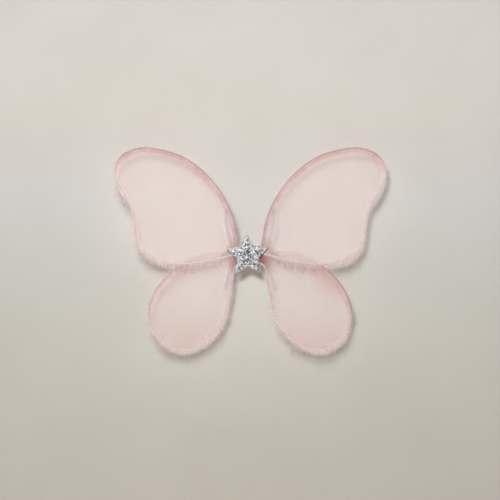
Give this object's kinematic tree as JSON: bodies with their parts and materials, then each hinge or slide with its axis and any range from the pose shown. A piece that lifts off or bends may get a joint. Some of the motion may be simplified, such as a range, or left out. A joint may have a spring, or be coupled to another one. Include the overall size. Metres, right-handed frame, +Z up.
{
  "type": "fairy wings",
  "caption": "Wearable fairy wings: wired sheer fabric wings with gathered casings and fringed edges on a padded centre, a stuffed glitter star in front and elastic arm loops behind.",
  "frame": {"origin": "centre of the back pad's rear face, which lies against the wearer's back", "axes": "+Z up, +X to the right as seen from the front, the star faces -Y and the wearer's back is at +Y"},
  "size_m": [0.4744, 0.0776, 0.3582],
  "materials": {
    "wire": "rose-lacquered spring wire",
    "edge_fabric": "folded and ruched blush mesh",
    "mesh_fabric": "sheer pale blush mesh with tiny glitter specks",
    "fringe": "frayed fine threads",
    "felt": "dusty pink felt",
    "foam": "soft wadding",
    "glitter": "chunky silver glitter fabric",
    "elastic": "dusty lilac flat elastic",
    "thread": "sewing thread"
  },
  "bodies": {
    "centre": {"back_pad_cover": "felt", "back_pad_foam": "foam", "back_pad_stitching": "thread", "backing_board": "felt", "centre_core": "foam", "front_pad": "felt", "star_backing": "felt", "star_filling": "foam", "star_shell": "glitter", "right_strap_anchor": "elastic", "left_strap_anchor": "elastic", "right_strap_stitching": "thread", "left_strap_stitching": "thread"},
    "upper_right_wing": {"upper_right_wire": "wire", "upper_right_casing": "edge_fabric", "upper_right_panel": "mesh_fabric", "upper_right_gather": "edge_fabric", "upper_right_fringe": "fringe", "upper_right_root_binding": "thread"},
    "upper_left_wing": {"upper_left_wire": "wire", "upper_left_casing": "edge_fabric", "upper_left_panel": "mesh_fabric", "upper_left_gather": "edge_fabric", "upper_left_fringe": "fringe", "upper_left_root_binding": "thread"},
    "lower_right_wing": {"lower_right_wire": "wire", "lower_right_casing": "edge_fabric", "lower_right_panel": "mesh_fabric", "lower_right_gather": "edge_fabric", "lower_right_fringe": "fringe", "lower_right_root_binding": "thread"},
    "lower_left_wing": {"lower_left_wire": "wire", "lower_left_casing": "edge_fabric", "lower_left_panel": "mesh_fabric", "lower_left_gather": "edge_fabric", "lower_left_fringe": "fringe", "lower_left_root_binding": "thread"},
    "right_loop": {"right_arm_loop": "elastic"},
    "left_loop": {"left_arm_loop": "elastic"}
  },
  "joints": [
    {"name": "upper_right_flap", "type": "hinge", "parent": "centre", "child": "upper_right_wing", "pos_m": [0.015, -0.01615, 0], "axis": [0, 0, 1], "range_deg": [-12, 6], "stiffness_Nm_per_rad": 0.1},
    {"name": "upper_left_flap", "type": "hinge", "parent": "centre", "child": "upper_left_wing", "pos_m": [-0.015, -0.01615, 0], "axis": [0, 0, -1], "range_deg": [-12, 6], "stiffness_Nm_per_rad": 0.1},
    {"name": "lower_right_flex", "type": "hinge", "parent": "upper_right_wing", "child": "lower_right_wing", "pos_m": [0.015, -0.01195, 0], "axis": [0, 0, 1], "range_deg": [0, 2.5], "stiffness_Nm_per_rad": 0.06},
    {"name": "lower_left_flex", "type": "hinge", "parent": "upper_left_wing", "child": "lower_left_wing", "pos_m": [-0.015, -0.01195, 0], "axis": [0, 0, -1], "range_deg": [0, 2.5], "stiffness_Nm_per_rad": 0.06},
    {"name": "right_loop_swing", "type": "hinge", "parent": "centre", "child": "right_loop", "pos_m": [0.032, -0.0045, 0], "axis": [0, 0, -1], "range_deg": [-15, 15], "stiffness_Nm_per_rad": 0.01},
    {"name": "left_loop_swing", "type": "hinge", "parent": "centre", "child": "left_loop", "pos_m": [-0.032, -0.0045, 0], "axis": [0, 0, 1], "range_deg": [-15, 15], "stiffness_Nm_per_rad": 0.01}
  ]
}
